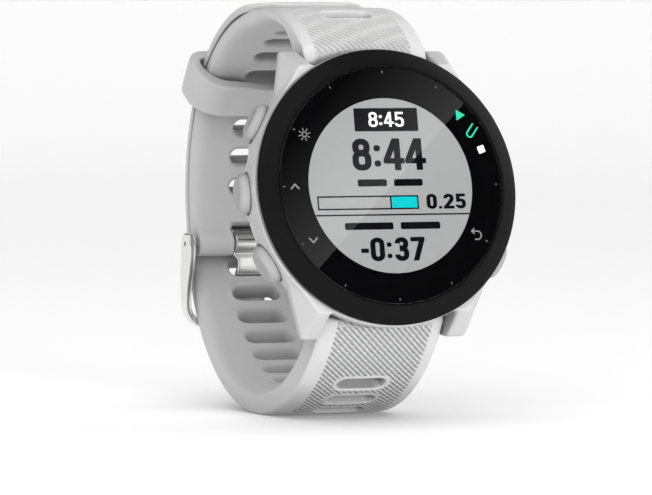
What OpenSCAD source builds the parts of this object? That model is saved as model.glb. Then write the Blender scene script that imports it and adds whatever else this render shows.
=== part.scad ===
/* [Case] */
// Outer radius of the case at its rim
case_r = 21; // [20.8:0.1:21.2]
// Height of the case bottom below the glass
case_bottom = 10.8; // [10.7:0.1:11]
// Lean of the watch back from upright, in degrees
lean = 11.5; // [0:0.5:20]

/* [Glass and bezel] */
// Radius of the cover glass
glass_r = 17.9; // [17.7:0.1:17.9]
// Thickness of the cover glass
glass_t = 1.2; // [1:0.1:1.2]
// Outer radius of the bezel ring
bezel_r = 20.7; // [20.4:0.1:20.8]
// Radius of the part of the display that lights up
display_r = 13.2; // [12.5:0.1:14]

/* [Strap] */
// Width of the strap
strap_w = 20; // [18:0.5:20]
// Length of a strap slot across the strap
slot_len = 8; // [7.6:0.1:9]
// Height of a strap slot along the strap
slot_h = 2.8; // [2.6:0.1:3]
// Thickness of the tail where it lies on the short strap
tail_t = 1.6; // [1.4:0.1:2.2]
// Width of the keeper along the strap
keeper_w = 7.5; // [5:0.5:9]

/* [Buttons] */
// Length of a button cap along the case side
cap_len = 5.9; // [5:0.1:5.9]
// Height of a button cap across the case side
cap_h = 4.2; // [3.6:0.1:4.2]
// How far a button can be pushed in
press = 0.5; // [0.3:0.05:0.55]

/* [Hidden] */
$fn = 96;
eps = 0.02;

// How far a cut runs past the face that it opens.
over = 1;

// Heights are measured from the top of the glass, which is 0, down to the wrist, which is negative.
rim_bottom = -4.5;
bezel_bottom = -2.4;
bezel_ledge = -1.35;
bezel_lip_r = 18.35;
bezel_lip_z = -0.05;
bezel_edge_z = -1.95;
bezel_chamfer = 0.35;
bezel_bore_r = 17.95;
glass_chamfer = 0.25;
mask_t = 0.08;
seat_r = 16.9;
case_waist_z = -7;
case_foot_r = 19.2;
cavity_r = 18.2;
cavity_half = 15.2;
cavity_floor = -9.6;
back_opening_r = 15.2;
back_plate_t = 0.8;
back_half = 16.3;
back_r = 18.8;
pocket_half = 16.6;
pocket_len = 8;
lug_x = 10.3;
lug_side_x = 16.4;

// Buttons. Angles run round the dial from its right side.
light_angle = 150;
up_angle = 180;
down_angle = 210;
start_angle = 30;
back_angle = -30;
button_angles = [light_angle, up_angle, down_angle, start_angle, back_angle];
button_z = -6;
cap_inner = 20.9;
cap_outer = 22.5;
cap_floor_gap = 0.2;
cap_pocket = cap_inner - press - cap_floor_gap;
cap_play = 0.3;
cap_step = 0.5;
pad_r = 21.4;
pad_inner = 18.5;
pad_extra_len = 2.6;
pad_extra_h = 2;
stem_tip = 17.45;
stem_r = 1.05;
stem_bore_r = 1.1;
stem_bore_from = 16.5;
seal_at = 19.75;
seal_wire_r = 0.19;
seal_mid_r = 0.88;
seal_groove_r = 0.68;
seal_groove_half = 0.25;
clip_at = 17.93;
clip_t = 0.35;
clip_r = 1.4;
clip_gap = 1.2;
clip_groove_r = 0.78;
clip_groove_half = 0.19;

// Parts inside, as [top, bottom] heights and as radii.
panel_z = [-1.35, -2.55];
light_z = [-2.6, -3.2];
panel_r = 14.5;
chassis_r = 16.4;
chassis_in_r = 15.1;
chassis_wall_z = [-1.7, -3.3];
chassis_floor_z = [-3.3, -4];
flex_w = 8;
flex_y = 14.86;
flex_t = 0.12;
board_top = -4.15;
board_bottom = -4.95;
board_r = 14.8;
board_hole_at = 13.6;
board_hole_r = 0.6;
antenna_r = 16.5;
antenna_bottom = -4.2;
antenna_section = [0.3, 1.6];
antenna_from = 20;
antenna_turn = 140;
processor_at = [1, 5.5];
receiver_at = [5.5, -5];
power_at = [-2.5, -3.5];
shield_w = 7;
shield_h = 1.1;
shield_wall = 0.2;
switch_size = [1.8, 3.2, 1.8];
switch_from = 15;
motor_at = [-9.6, 0, -7.65];
motor_r = 3.6;
motor_h = 2.6;
buzzer_at = [-7.6, -8.4, -5.8];
buzzer_r = 3.2;
buzzer_h = 0.7;
battery_at = [-5.5, -9, -9.4];
battery_size = [17, 18, 3.2];

// Back cover and what it carries.
screw_points = [for (x = [-12.9, 12.9], y = [-11.3, 11.3]) [x, y]];
screw_r = 0.6;
screw_len = 2.6;
screw_hole_depth = 2.4;
screw_head_r = 1.4;
screw_head_t = 0.4;
screw_sink = 0.35;
screw_slot = [1.8, 0.34, 0.4];
boss_r = 1.7;
boss_top = -7.8;
spigot_r = 14.6;
spigot_in_r = 14;
spigot_top = -9.9;
gasket_mid_r = 14.9;
gasket_z = -10.35;
gasket_wire_r = 0.28;
window_r = 5;
window_top = -10.95;
window_edge = -11.7;
window_z = -12;
window_chamfer = 0.5;
sensor_z = [-9.7, -10.2];
sensor_board_r = 6.5;
led_w = 1.2;
led_at = 1.1;
diode_w = 1.6;
diode_at = 2.4;
port_y = -10.3;
port_size = [9.5, 4.4];
port_depth = 1.8;
port_play = 0.05;
socket_size = [8.2, 3.1];
socket_depth = 1.2;
contact_pitch = 1.9;
contact_r = 0.4;
contact_h = 1.3;
contact_bottom = -11.1;
back_cut = -14;

// The strap's side outline is drawn in a plane of [up the dial, out of the dial].
// Angles run from straight back, 0, over the top of the wrist, 90, to the front, 180.
bar_y = 19.3;
bar_z = -9;
bar_len = 19.6;
bar_tube_r = 0.9;
bar_tube_play = 0.03;
bar_bore_r = 0.6;
bar_pin_r = 0.55;
bar_tip = 11.6;
lug_hole_r = 0.58;
lug_hole_end = 11.8;
release_inner = -3.6;
lever_x = -7.2;
lever_r = 0.45;
lever_len = 3.4;
spring_coils = 5;
spring_len = 5.6;
spring_from = -2.2;
spring_mid_r = 0.36;
spring_wire_r = 0.15;
lower_c = [0, -30];
lower_r = 29.9;
lower_end_r = 1.7;
inner_c = [0.5, -31];
inner_r = 26.5;
inner_end = -137.8;
upper_c = [4.2, -30];
upper_in_r = 24.4;
upper_out_r = 27.7;
upper_front_r = 29.5;
upper_end_r = 2.3;
upper_in_from = -6;
upper_from = -4;
upper_swell = [103, 118];
upper_to = 146;
upper_in_to = 147;
tail_in_r = 27.8;
tail_end = 101;
strap_end_y = 18.3;
strap_end_z = -7.4;
strap_end_in_y = 17.2;
slot_cut = [20, 34];
lower_slots = [for (i = [0 : 11]) -8.3 - 9.65 * i];
tail_slots = [for (i = [0 : 8]) 4.4 + 9.9 * i];
upper_slots = [for (i = [0 : 10]) 11.7 + 11.05 * i];
keeper_mid = 53;
keeper_at_r = 28.5;
keeper_in_r = 22.6;
keeper_out_r = 32;
keeper_wall = 1.8;
keeper_gap = 0.12;
keeper_side_gap = 0.15;
keeper_cut_turn = 5;
pivot = [0.5, -55.3];
barrel_r = 2;
pivot_r = 0.8;
pivot_bore_r = 0.86;
tongue_half = 3.8;
blade_half = 3;
tongue_eye_r = 1.55;
notch_play = 0.4;
notch_front = -2.7;
notch_len = 5.4;
notch_depth = 6;
crossbar = [-12, -58.65];
crossbar_r = 1;
arm_x = [10.9, 12];
arm_eye_r = 1.9;
pin_end = 11.8;

// The whole watch stands on the lowest point of its strap, centred over the origin.
front_reach = -bezel_lip_r * sin(lean) - bezel_lip_z * cos(lean);
back_reach = upper_c * [sin(lean), -cos(lean)] + tail_in_r + tail_t;
stand_x = (cap_outer - case_r) / 2;
stand_y = -(front_reach + back_reach) / 2;
stand_z = lower_r - lower_c[1] * sin(lean);

module stand() {
    translate([stand_x, stand_y, stand_z]) rotate([90 - lean, 0, 0]) children();
}

// Layer of a 2D shape between two heights.
module layer(top, bottom) {
    translate([0, 0, bottom]) linear_extrude(top - bottom) children();
}

// Flat ring between two heights.
module ring(r_out, r_in, top, bottom) {
    layer(top, bottom) difference() {
        circle(r_out);
        circle(r_in);
    }
}

// Bar with round ends, long side along Y.
module stadium(len, wid) {
    square([wid, len - wid], center = true);
    for (s = [-1, 1]) translate([0, s * (len - wid) / 2]) circle(wid / 2);
}

// Frame whose Z axis points out of the case side at a button.
module at_button(angle) {
    translate([0, 0, button_z]) rotate([0, 0, angle]) rotate([0, 90, 0]) children();
}

// Solid of a side outline, between two places across the watch.
module across(x0, x1) {
    translate([x0, 0, 0]) rotate([90, 0, 90]) linear_extrude(x1 - x0) children();
}

// Pin or bore that runs across the watch, at a point of the side outline.
module cross_pin(p, r, x0, x1) {
    translate([x0, p[0], p[1]]) rotate([0, 90, 0]) cylinder(r = r, h = x1 - x0);
}

function on_arc(c, r, a) = c + r * [sin(a), -cos(a)];
function arc(c, r, a0, a1, step = 3) =
    let (n = ceil(abs(a1 - a0) / step)) [for (i = [0 : n]) on_arc(c, r, a0 + (a1 - a0) * i / n)];
function unit(v) = v / norm(v);
function left_of(v) = [-v[1], v[0]];
function run_at(p, i) = unit(p[min(i + 1, len(p) - 1)] - p[max(i - 1, 0)]);
function flat(p) = [for (q = p) [q[0], q[1]]];
// Outline of a strip that follows the points of p; the third value of a point is its half thickness.
function strip(p) = let (f = flat(p)) concat(
    [for (i = [0 : len(p) - 1]) f[i] + p[i][2] * left_of(run_at(f, i))],
    [for (i = [len(p) - 1 : -1 : 0]) f[i] - p[i][2] * left_of(run_at(f, i))]);

// Hole through the strap, seen square to it, at an angle about the centre of the strap's curve.
module strap_slot(c, angle) {
    translate([0, c[0], c[1]]) rotate([angle, 0, 0]) translate([0, 0, -slot_cut[1]])
        linear_extrude(slot_cut[1] - slot_cut[0]) rotate(90) stadium(slot_len, slot_h);
}

module lug_outline() {
    polygon([[lug_x, 11], [lug_side_x, 12.5], [15.6, 18.6], [14.2, 20.8], [13, 21.6], [lug_x, 21.9]]);
}

module lug_profile() {
    polygon([[11, bezel_bottom], [17.6, bezel_bottom], [18.8, -2.9], [21.7, -7.4], [21.9, -8.8],
             [20.8, -case_bottom], [11, -case_bottom]]);
}

module lug() {
    intersection() {
        layer(0, -case_bottom) lug_outline();
        across(0, case_r) lug_profile();
    }
}

module case_shell() {
    rotate_extrude() polygon([[0, bezel_bottom], [case_r, bezel_bottom], [case_r, case_waist_z],
                              [case_foot_r, -case_bottom], [0, -case_bottom]]);
    for (mx = [0, 1], my = [0, 1]) mirror([mx, 0, 0]) mirror([0, my, 0]) lug();
    for (a = button_angles) at_button(a) layer(pad_r, pad_inner)
        stadium(cap_len + pad_extra_len, cap_h + pad_extra_h);
}

module case_cavity() {
    layer(bezel_bottom + over, rim_bottom) circle(seat_r);
    difference() {
        layer(rim_bottom + eps, cavity_floor) intersection() {
            circle(cavity_r);
            square([2 * case_r, 2 * cavity_half], center = true);
        }
        for (p = screw_points) translate([p[0], p[1], -case_bottom])
            cylinder(r = boss_r, h = case_bottom + boss_top);
    }
    layer(cavity_floor + eps, -case_bottom - over) circle(back_opening_r);
}

// Room between two lugs for the end of the strap; side is 1 at the top and -1 at the bottom.
module strap_pocket(side) {
    translate([-lug_x, side > 0 ? pocket_half : -pocket_half - pocket_len, -case_bottom - over])
        cube([2 * lug_x, pocket_len, case_bottom + over + rim_bottom]);
}

module case_body() stand() color("gainsboro") {
    difference() {
        case_shell();
        case_cavity();
        for (side = [-1, 1]) strap_pocket(side);
        for (a = button_angles) at_button(a) {
            translate([0, 0, stem_bore_from]) cylinder(r = stem_bore_r, h = cap_outer - stem_bore_from);
            layer(cap_outer + over, cap_pocket) stadium(cap_len + cap_play, cap_h + cap_play);
        }
        for (side = [-1, 1]) cross_pin([side * bar_y, bar_z], lug_hole_r, -lug_hole_end, lug_hole_end);
        for (p = screw_points) translate([p[0], p[1], -case_bottom - over])
            cylinder(r = screw_r, h = over + screw_hole_depth);
    }
}

module bezel() stand() color("#1c1c1e") {
    rotate_extrude() polygon([[seat_r, bezel_bottom], [bezel_r, bezel_bottom], [bezel_r, bezel_edge_z],
        [bezel_r - bezel_chamfer, bezel_edge_z + bezel_chamfer], [bezel_lip_r, bezel_lip_z],
        [bezel_bore_r, bezel_lip_z - eps], [bezel_bore_r, bezel_ledge], [seat_r, bezel_ledge]]);
}

module cover_lens() stand() color("#303236", 0.4) {
    rotate_extrude() polygon([[0, -glass_t], [glass_r, -glass_t], [glass_r, -glass_chamfer],
                              [glass_r - glass_chamfer, 0], [0, 0]]);
}

module lens_adhesive() stand() color("black") ring(glass_r, seat_r + 0.1, -glass_t, bezel_ledge);

module lens_mask() stand() color("#08080a") ring(seat_r, display_r, -glass_t, -glass_t - mask_t);

module display_panel() stand() color("silver") layer(panel_z[0], panel_z[1]) circle(panel_r);

module backlight() stand() color("white") layer(light_z[0], light_z[1]) circle(panel_r);

module inner_chassis() stand() color("#2a2a2c") {
    difference() {
        union() {
            ring(chassis_r, chassis_in_r, chassis_wall_z[0], chassis_wall_z[1]);
            layer(chassis_floor_z[0], chassis_floor_z[1]) circle(chassis_r);
        }
        translate([-flex_w / 2 - 0.3, 14.2, chassis_floor_z[1] - over])
            cube([flex_w + 0.6, 1.4, -chassis_floor_z[1]]);
    }
}

// Ribbon: it stands behind the display panel and lies on the board.
module display_flex() stand() color("orange") {
    translate([-flex_w / 2, flex_y, board_top]) cube([flex_w, flex_t, light_z[0] + 0.65 - board_top]);
    translate([-flex_w / 2, flex_y - 2.66, board_top]) cube([flex_w, 2.7, flex_t - eps]);
}

module gps_antenna() stand() color("#b87333") {
    rotate([0, 0, antenna_from]) translate([0, 0, antenna_bottom]) rotate_extrude(angle = antenna_turn)
        translate([antenna_r, 0]) square(antenna_section);
}

module main_board() stand() color("#1f6b3a") {
    difference() {
        layer(board_top, board_bottom) circle(board_r);
        for (a = [45 : 90 : 315]) rotate([0, 0, a]) translate([board_hole_at, 0, board_bottom - over])
            cylinder(r = board_hole_r, h = board_top - board_bottom + 2 * over);
    }
}

// Chip of a size [across, along, high] under the board, with its middle at a point of the board.
module chip(at, size) {
    translate([at[0] - size[0] / 2, at[1] - size[1] / 2, board_bottom - size[2]]) cube(size);
}

module processor() stand() color("#202022") chip(processor_at, [6.5, 6.5, 0.9]);

module gps_receiver() stand() color("#28282a") chip(receiver_at, [4, 4, 0.7]);

module power_chip() stand() color("#242426") chip(power_at, [3.5, 3.5, 0.8]);

module shield_can() stand() color("silver") {
    inside = shield_w - 2 * shield_wall;
    difference() {
        chip(receiver_at, [shield_w, shield_w, shield_h]);
        translate([0, 0, over]) chip(receiver_at, [inside, inside, shield_h + over - shield_wall]);
    }
}

module tact_switches() stand() color("#d8d8da") {
    for (a = button_angles) at_button(a)
        translate([-switch_size[0] / 2, -switch_size[1] / 2, switch_from]) cube(switch_size);
}

module vibration_motor() stand() color("silver") translate(motor_at) cylinder(r = motor_r, h = motor_h);

module buzzer() stand() color("goldenrod") translate(buzzer_at) cylinder(r = buzzer_r, h = buzzer_h);

module battery() stand() color("#3c3f44") translate(battery_at) cube(battery_size);

module case_back() stand() color("#2b2b2e") {
    port_w = port_size + [2 * port_play, 2 * port_play];
    difference() {
        union() {
            layer(-case_bottom, -case_bottom - back_plate_t) intersection() {
                circle(back_r);
                square([2 * back_r, 2 * back_half], center = true);
            }
            ring(spigot_r, spigot_in_r, spigot_top, -case_bottom - eps);
        }
        translate([0, 0, back_cut]) cylinder(r = window_r + port_play, h = 5);
        translate([-port_w[0] / 2, port_y - port_w[1] / 2, back_cut]) cube([port_w[0], port_w[1], 5]);
        for (p = screw_points) translate([p[0], p[1], back_cut]) {
            cylinder(r = screw_r + 0.15, h = 5);
            cylinder(r = screw_head_r + 0.1, h = -back_cut - case_bottom - screw_sink);
        }
    }
}

module back_gasket() stand() color("#c8452e") {
    translate([0, 0, gasket_z]) rotate_extrude() translate([gasket_mid_r, 0])
        circle(gasket_wire_r, $fn = 24);
}

module back_screws() stand() color("silver") {
    head_top = -case_bottom - screw_sink;
    slot_bottom = head_top - screw_head_t - screw_slot[2] / 2;
    for (p = screw_points) translate([p[0], p[1], 0]) {
        translate([0, 0, head_top]) cylinder(r = screw_r, h = screw_len);
        difference() {
            translate([0, 0, head_top - screw_head_t]) cylinder(r = screw_head_r, h = screw_head_t);
            for (a = [0, 90]) rotate([0, 0, a])
                translate([-screw_slot[0] / 2, -screw_slot[1] / 2, slot_bottom]) cube(screw_slot);
        }
    }
}

module sensor_window() stand() color("#101014", 0.6) {
    rotate_extrude() polygon([[0, window_top], [window_r, window_top], [window_r, window_edge],
                              [window_r - window_chamfer, window_z], [0, window_z]]);
}

module sensor_board() stand() color("#1f6b3a") layer(sensor_z[0], sensor_z[1]) circle(sensor_board_r);

module sensor_leds() stand() color("#9be8a0") {
    for (a = [90, 210, 330]) rotate([0, 0, a]) translate([led_at, -led_w / 2, sensor_z[1] - 0.55])
        cube([led_w, led_w, 0.55]);
}

module photodiodes() stand() color("#4a4a55") {
    for (a = [30, 150, 270]) rotate([0, 0, a]) translate([diode_at, -diode_w / 2, sensor_z[1] - 0.5])
        cube([diode_w, diode_w, 0.5]);
}

// Places the four contacts of the charging socket.
module at_contacts(z) {
    for (i = [-1.5 : 1 : 1.5]) translate([i * contact_pitch, port_y, z]) children();
}

module charge_port() stand() color("#3a3a3d") {
    face = -case_bottom - back_plate_t;
    difference() {
        translate([-port_size[0] / 2, port_y - port_size[1] / 2, face])
            cube([port_size[0], port_size[1], port_depth]);
        translate([-socket_size[0] / 2, port_y - socket_size[1] / 2, face - over])
            cube([socket_size[0], socket_size[1], over + socket_depth]);
        at_contacts(window_z) cylinder(r = contact_r, h = 4);
    }
}

module charge_contacts() stand() color("gold") {
    at_contacts(contact_bottom) cylinder(r = contact_r, h = contact_h);
}

// Button: an oval cap on a grooved stem that reaches its switch.
module button(angle) stand() color("whitesmoke") {
    at_button(angle) {
        layer(cap_outer - 0.4, cap_inner) stadium(cap_len, cap_h);
        layer(cap_outer, cap_outer - cap_step) stadium(cap_len - 2 * cap_step, cap_h - 2 * cap_step);
        rotate_extrude() polygon([[0, stem_tip], [stem_r - 0.2, stem_tip], [stem_r, stem_tip + 0.15],
            [stem_r, clip_at - clip_groove_half], [clip_groove_r, clip_at - clip_groove_half],
            [clip_groove_r, clip_at + clip_groove_half], [stem_r, clip_at + clip_groove_half],
            [stem_r, seal_at - seal_groove_half], [seal_groove_r, seal_at - seal_groove_half],
            [seal_groove_r, seal_at + seal_groove_half], [stem_r, seal_at + seal_groove_half],
            [stem_r, cap_inner + 0.2], [0, cap_inner + 0.2]]);
    }
}

module button_seal(angle) stand() color("black") {
    at_button(angle) translate([0, 0, seal_at]) rotate_extrude() translate([seal_mid_r, 0])
        circle(seal_wire_r, $fn = 24);
}

module button_clip(angle) stand() color("silver") {
    at_button(angle) layer(clip_at + clip_t / 2, clip_at - clip_t / 2) difference() {
        circle(clip_r);
        circle(clip_groove_r + eps);
        translate([-clip_gap / 2, 0]) square([clip_gap, clip_r + over]);
    }
}

// The short half of the strap, from the top lugs to the buckle.
module upper_strap() stand() color("#c9cacc") {
    notch_half = tongue_half + notch_play;
    difference() {
        union() {
            across(-strap_w / 2, strap_w / 2) polygon(concat(
                arc(upper_c, upper_out_r, upper_from, upper_swell[0]),
                arc(upper_c, upper_front_r, upper_swell[1], upper_to),
                [[strap_end_in_y, strap_end_z]], arc(upper_c, upper_in_r, upper_in_to, upper_in_from)));
            cross_pin([bar_y, bar_z], upper_end_r, -strap_w / 2, strap_w / 2);
            cross_pin(pivot, barrel_r, -strap_w / 2, strap_w / 2);
        }
        cross_pin([bar_y, bar_z], bar_tube_r + bar_tube_play, -strap_w, strap_w);
        cross_pin(pivot, pivot_bore_r, -strap_w, strap_w);
        for (a = upper_slots) strap_slot(upper_c, a);
        translate([-notch_half, notch_front, pivot[1] - notch_depth / 2])
            cube([2 * notch_half, notch_len, notch_depth]);
        lever_window(1);
    }
}

// Room under the strap for the release lever.
module lever_window(side) {
    translate([-8.2, side * bar_y - 1, bar_z - 5]) cube([4.4, 2, 5]);
}

// The long half of the strap, from the bottom lugs round the wrist to the free tip of its tail.
module lower_strap() stand() color("#c9cacc") {
    lower_from = asin(strap_end_y / lower_r) - 180;
    difference() {
        union() {
            across(-strap_w / 2, strap_w / 2) polygon(concat(
                arc(lower_c, lower_r, lower_from, 0), arc(upper_c, tail_in_r + tail_t, 0, tail_end),
                arc(upper_c, tail_in_r, tail_end, 0), arc(inner_c, inner_r, 0, inner_end),
                [[-strap_end_in_y, strap_end_z]]));
            cross_pin([-bar_y, bar_z], lower_end_r, -strap_w / 2, strap_w / 2);
        }
        cross_pin([-bar_y, bar_z], bar_tube_r + bar_tube_play, -strap_w, strap_w);
        for (a = lower_slots) strap_slot(lower_c, a);
        for (a = tail_slots) strap_slot(upper_c, a);
        lever_window(-1);
    }
}

// Spring bar: a hollow tube with one fixed end in the right lug and a slot for the release lever.
module bar_tube(side) stand() color("silver") {
    p = [side * bar_y, bar_z];
    difference() {
        union() {
            cross_pin(p, bar_tube_r, -bar_len / 2, bar_len / 2);
            cross_pin(p, bar_pin_r, bar_len / 2, bar_tip);
        }
        cross_pin(p, bar_bore_r, -bar_len / 2 - over, 4);
        translate([-8, p[0] - 0.5, p[1] - 2]) cube([4, 1, 2]);
    }
}

// Sliding end of a spring bar, with the lever that a thumb pulls.
module release_pin(side) stand() color("silver") {
    p = [side * bar_y, bar_z];
    cross_pin(p, bar_pin_r, -bar_tip, release_inner);
    translate([lever_x, p[0], p[1] - lever_len]) cylinder(r = lever_r, h = lever_len, $fn = 32);
}

// Coil springs inside both spring bars.
module bar_springs() stand() color("gray") {
    for (side = [-1, 1]) translate([spring_from, side * bar_y, bar_z]) rotate([0, 90, 0])
        linear_extrude(spring_len, twist = -360 * spring_coils, slices = 10 * spring_coils, $fn = 6)
            translate([spring_mid_r, 0]) circle(spring_wire_r, $fn = 6);
}

// Free loop that holds the tail down; it slides along the strap.
module strap_keeper() stand() color("#c9cacc") {
    half = keeper_w / keeper_at_r * 90 / PI;
    cut = half + keeper_cut_turn;
    inner = upper_in_r - keeper_gap;
    outer = tail_in_r + tail_t + keeper_gap;
    x = strap_w / 2;
    difference() {
        across(-x - keeper_wall, x + keeper_wall) polygon(concat(
            arc(upper_c, keeper_out_r, keeper_mid - half, keeper_mid + half),
            arc(upper_c, keeper_in_r, keeper_mid + half, keeper_mid - half)));
        across(-x - keeper_side_gap, x + keeper_side_gap) polygon(concat(
            arc(upper_c, outer, keeper_mid - cut, keeper_mid + cut),
            arc(upper_c, inner, keeper_mid + cut, keeper_mid - cut)));
    }
}

// Steel loop of the buckle: two arms and a crossbar outside the strap.
module buckle_frame() stand() color("#b9bbbe") {
    arm = [[pivot[0], pivot[1], arm_eye_r], [-1.8, -55.8, 1.75], [-4.6, -57, 1.5], [-8, -57.9, 1.15],
           [crossbar[0], crossbar[1], crossbar_r]];
    difference() {
        union() {
            for (m = [0, 1]) mirror([m, 0, 0]) {
                across(arm_x[0], arm_x[1]) polygon(strip(arm));
                cross_pin(pivot, arm_eye_r, arm_x[0], arm_x[1]);
            }
            cross_pin(crossbar, crossbar_r, -arm_x[1], arm_x[1]);
        }
        cross_pin(pivot, pivot_r, -strap_w, strap_w);
    }
}

module buckle_bar() stand() color("silver") cross_pin(pivot, pivot_r, -pin_end, pin_end);

// Tongue of the buckle: a wide eye on the bar, and a blade through a strap slot to the crossbar.
module buckle_tongue() stand() color("#c4c6c9") {
    path = [[0.1, -55.95, 0.5], [-1.8, -55.95, 0.45], [-3.7, -56.6, 0.45], [-4.3, -57.8, 0.45],
            [-4.6, -59.3, 0.45], [-5.8, -60.3, 0.5], [-8.6, -60.7, 0.55], [-12.5, -60.25, 0.5],
            [-14, -59.7, 0.4]];
    difference() {
        union() {
            across(-blade_half, blade_half) polygon(strip(path));
            cross_pin(pivot, tongue_eye_r, -tongue_half, tongue_half);
        }
        cross_pin(pivot, pivot_bore_r, -strap_w, strap_w);
    }
}

case_body();
bezel();
cover_lens();
lens_adhesive();
lens_mask();
display_panel();
backlight();
inner_chassis();
display_flex();
gps_antenna();
main_board();
processor();
gps_receiver();
power_chip();
shield_can();
tact_switches();
vibration_motor();
buzzer();
battery();
case_back();
back_gasket();
back_screws();
sensor_window();
sensor_leds();
photodiodes();
sensor_board();
charge_port();
charge_contacts();
button(light_angle);  // light_button
button_seal(light_angle);  // light_button_seal
button_clip(light_angle);  // light_button_clip
button(up_angle);  // up_button
button_seal(up_angle);  // up_button_seal
button_clip(up_angle);  // up_button_clip
button(down_angle);  // down_button
button_seal(down_angle);  // down_button_seal
button_clip(down_angle);  // down_button_clip
button(start_angle);  // start_button
button_seal(start_angle);  // start_button_seal
button_clip(start_angle);  // start_button_clip
button(back_angle);  // back_button
button_seal(back_angle);  // back_button_seal
button_clip(back_angle);  // back_button_clip
upper_strap();
lower_strap();
bar_tube(1);  // upper_bar_tube
bar_tube(-1);  // lower_bar_tube
release_pin(1);  // upper_release_pin
release_pin(-1);  // lower_release_pin
bar_springs();
strap_keeper();
buckle_frame();
buckle_bar();
buckle_tongue();
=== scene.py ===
"""GPS running watch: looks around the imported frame. Lengths in the shape functions are millimetres in
the dial's own axes: x to the right of the dial, y to its top, z out of the glass. to_row() makes metres."""
import math

import bpy
import numpy as np
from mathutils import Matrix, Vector


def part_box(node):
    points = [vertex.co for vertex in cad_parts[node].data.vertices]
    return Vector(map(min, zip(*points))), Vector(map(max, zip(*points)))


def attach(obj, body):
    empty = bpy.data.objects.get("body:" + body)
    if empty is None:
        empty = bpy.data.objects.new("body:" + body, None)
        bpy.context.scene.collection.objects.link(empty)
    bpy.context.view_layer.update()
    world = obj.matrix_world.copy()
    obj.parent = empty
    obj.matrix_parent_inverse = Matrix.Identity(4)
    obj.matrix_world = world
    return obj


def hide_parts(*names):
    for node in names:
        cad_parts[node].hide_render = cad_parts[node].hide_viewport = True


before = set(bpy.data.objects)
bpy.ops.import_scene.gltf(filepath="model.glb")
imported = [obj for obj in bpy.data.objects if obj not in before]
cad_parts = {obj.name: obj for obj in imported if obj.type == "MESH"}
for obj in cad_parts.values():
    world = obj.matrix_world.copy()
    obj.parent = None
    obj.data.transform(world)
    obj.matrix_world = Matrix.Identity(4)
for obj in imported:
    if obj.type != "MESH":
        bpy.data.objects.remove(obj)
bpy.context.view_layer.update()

# ---- the dial's place in the row frame
MM = 0.001
LEAN = math.radians(11.5)
GLASS_T = 1.2
PANE_T = 0.3
DIAL_OUT = Vector((0, -math.cos(LEAN), math.sin(LEAN)))
DIAL_UP = Vector((0, math.sin(LEAN), math.cos(LEAN)))
lens_low, lens_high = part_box("cover_lens")
DIAL_CENTRE = (lens_low + lens_high) / 2 + DIAL_OUT * (GLASS_T / 2 * MM)


def to_row(points):
    """Dial millimetres to metres in the row frame."""
    p = np.asarray(points, float).reshape(-1, 3) * MM
    axes = np.array([(1, 0, 0), tuple(DIAL_UP), tuple(DIAL_OUT)])
    return np.array(DIAL_CENTRE) + p @ axes


# ---- driving sizes, as in the CAD
GLASS_R = 17.9
LIT_R = 13.2
SEAT_R = 16.9
PRINT_R = 17.88
CASE_BOTTOM = -10.8
RIM_TOP = -2.4
RIM_BOTTOM = -4.5
LUG_X = 10.3
POCKET_Y = 16.6
STRAP_HALF = 10.0
SLOT_LEN, SLOT_H = 7.9, 2.75
BUTTONS = {"light": 150, "up": 180, "down": 210, "start": 30, "back": -30}
BUTTON_Z = -6.0
SIDE_R = 20.95
CAVITY_R, CAVITY_FLOOR, BACK_OPENING_R = 18.2, -9.6, 15.2
CAP_SEAT, CAP_GAP, POCKET_SCALE, STEM_BORE_R = 20.35, 0.16, 2.2, 1.1
CAP_HALF_LEN, CAP_HALF_H = 3.0, 2.1
CAP_TOP = 22.5
PIVOT = (0.5, -55.3)
LOWER_C, LOWER_R = (0.0, -30.0), 29.9
INNER_C, INNER_R = (0.5, -31.0), 26.5
UPPER_C = (4.2, -30.0)
TAIL_IN, TAIL_OUT = 27.8, 29.4
CROSSBAR = (-12.0, -58.65)


# ---- small helpers
def mesh_object(name, points, faces):
    """An object in the scene, from points in metres in the row frame."""
    mesh = bpy.data.meshes.new(name)
    mesh.from_pydata(points, [], faces)
    obj = bpy.data.objects.new(name, mesh)
    bpy.context.scene.collection.objects.link(obj)
    return obj


def dress(obj, material):
    obj.data.materials.clear()
    obj.data.materials.append(material)


def add_piece(name, shape, body, replaced, material, smooth=True, angle=None):
    """A piece from its dial points and faces. It rides on a body and stands for the named CAD nodes."""
    points, faces = shape
    obj = mesh_object(name, to_row(points).tolist(), [list(map(int, f)) for f in faces])
    obj.data.validate()
    dress(obj, material)
    if smooth:
        obj.data.shade_smooth()
        if angle is not None:
            obj.data.set_sharp_from_angle(angle=math.radians(angle))
    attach(obj, body)
    if replaced:
        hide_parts(*replaced)
    return obj


def smooth_step(low, high, value):
    t = np.clip((value - low) / (high - low), 0, 1)
    return t * t * (3 - 2 * t)


def smin(a, b, k):
    h = np.clip(0.5 + 0.5 * (b - a) / k, 0, 1)
    return b * (1 - h) + a * h - k * h * (1 - h)


def smax(a, b, k):
    return -smin(-a, -b, k)


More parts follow.
